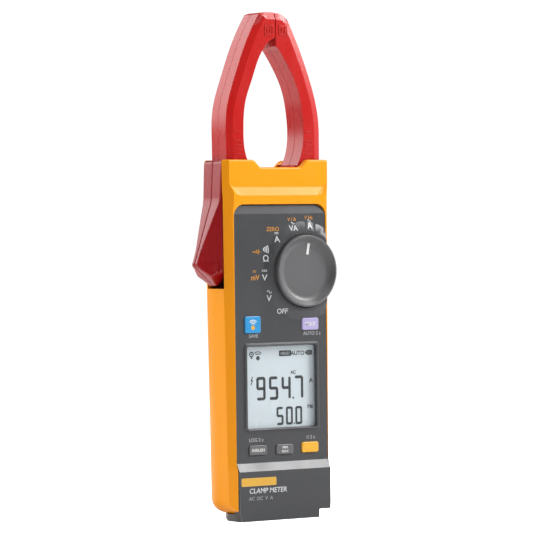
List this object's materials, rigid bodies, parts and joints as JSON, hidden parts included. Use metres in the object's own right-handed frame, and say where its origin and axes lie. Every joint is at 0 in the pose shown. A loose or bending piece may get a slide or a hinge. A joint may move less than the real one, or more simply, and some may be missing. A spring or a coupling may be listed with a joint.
{
  "type": "clamp meter",
  "caption": "Hand-held clamp meter: slim case with display, rotary switch and keys, and two hinged jaws that a side trigger opens.",
  "frame": {"origin": "centre of the flat underside of the jack end, on the jaws' middle plane across the width", "axes": "+X to the right of someone looking at the display, +Y to the back of the case, +Z towards the jaw tips"},
  "size_m": [0.0839, 0.0447, 0.281],
  "materials": {
    "yellow_shell": "moulded, lightly textured",
    "grey_panel": "moulded, fine matt texture",
    "red_jaw": "smooth, slightly glossy",
    "red_trigger": "smooth, slightly glossy",
    "grey_knob": "moulded, satin",
    "white_mark": "paint filled",
    "blue_key": "satin",
    "lavender_key": "satin",
    "grey_key": "satin",
    "yellow_key": "satin",
    "clear_lens": "clear, polished",
    "lcd": "reflective display",
    "white_plastic": "moulded",
    "rubber": "matt",
    "board": "solder mask",
    "black_plastic": "moulded",
    "cell_jacket": "printed jacket",
    "spring_steel": "plated",
    "jack_metal": "turned",
    "core_steel": "laminated",
    "winding": "enamelled copper"
  },
  "bodies": {
    "case": {"front_shell": "yellow_shell", "back_shell": "yellow_shell", "front_panel": "grey_panel", "bottom_cap": "grey_panel", "jack_com": "jack_metal", "jack_volt": "jack_metal", "lcd_lens": "clear_lens", "lcd_glass": "lcd", "lcd_backlight": "white_plastic", "zebra_strips": "rubber", "main_board": "board", "board_components": "black_plastic", "wireless_module": "board", "buzzer": "black_plastic", "keypad_mats": "rubber", "battery_tray": "black_plastic", "battery_cells": "cell_jacket", "battery_contacts": "spring_steel", "case_screws": "spring_steel", "pivot_pins": "spring_steel", "trigger_spring": "spring_steel", "knob_seal": "rubber"},
    "left_jaw": {"left_jaw_front": "red_jaw", "left_jaw_back": "red_jaw", "left_jaw_core": "core_steel", "left_jaw_coil": "winding", "left_field_sensor": "black_plastic", "left_gear_sector": "white_plastic", "trigger_front": "red_trigger", "trigger_back": "red_trigger"},
    "right_jaw": {"right_jaw_front": "red_jaw", "right_jaw_back": "red_jaw", "right_jaw_core": "core_steel", "right_jaw_coil": "winding", "right_field_sensor": "black_plastic", "right_gear_sector": "white_plastic"},
    "rotary_knob": {"knob": "grey_knob", "knob_pointer": "white_mark", "switch_rotor": "black_plastic"},
    "save_key": {"key_save": "blue_key"},
    "max_key": {"key_max": "lavender_key"},
    "inrush_key": {"key_inrush": "grey_key"},
    "min_max_key": {"key_min_max": "grey_key"},
    "backlight_key": {"key_backlight": "yellow_key"},
    "door": {"battery_door": "yellow_shell", "battery_door_screw": "spring_steel"}
  },
  "joints": [
    {"name": "left_jaw_pivot", "type": "hinge", "parent": "case", "child": "left_jaw", "pos_m": [-0.019, 0, 0.1875], "axis": [0, -1, 0], "range_deg": [0, 12.5], "stiffness_Nm_per_rad": 3, "springref_deg": -8.59, "deforming": ["trigger_spring"]},
    {"name": "right_jaw_pivot", "type": "hinge", "parent": "case", "child": "right_jaw", "pos_m": [0.019, 0, 0.1875], "axis": [0, 1, 0], "range_deg": [0, 12.5]},
    {"name": "knob_turn", "type": "hinge", "parent": "case", "child": "rotary_knob", "pos_m": [0.0158, 0, 0.1374], "axis": [0, -1, 0], "range_deg": [0, 156]},
    {"name": "save_key_press", "type": "slide", "parent": "case", "child": "save_key", "axis": [0, 1, 0], "range_m": [0, 0.0008], "stiffness_N_per_m": 2200, "springref_m": -0.0003},
    {"name": "max_key_press", "type": "slide", "parent": "case", "child": "max_key", "axis": [0, 1, 0], "range_m": [0, 0.0008], "stiffness_N_per_m": 2200, "springref_m": -0.0003},
    {"name": "inrush_key_press", "type": "slide", "parent": "case", "child": "inrush_key", "axis": [0, 1, 0], "range_m": [0, 0.0008], "stiffness_N_per_m": 2200, "springref_m": -0.0003},
    {"name": "min_max_key_press", "type": "slide", "parent": "case", "child": "min_max_key", "axis": [0, 1, 0], "range_m": [0, 0.0008], "stiffness_N_per_m": 2200, "springref_m": -0.0003},
    {"name": "backlight_key_press", "type": "slide", "parent": "case", "child": "backlight_key", "axis": [0, 1, 0], "range_m": [0, 0.0008], "stiffness_N_per_m": 2200, "springref_m": -0.0003},
    {"name": "door_lift", "type": "slide", "parent": "case", "child": "door", "axis": [0, 1, 0], "range_m": [0, 0.03]}
  ],
  "couplings": [
    {"joint": "right_jaw_pivot", "follows": "left_jaw_pivot", "ratio": 1}
  ]
}
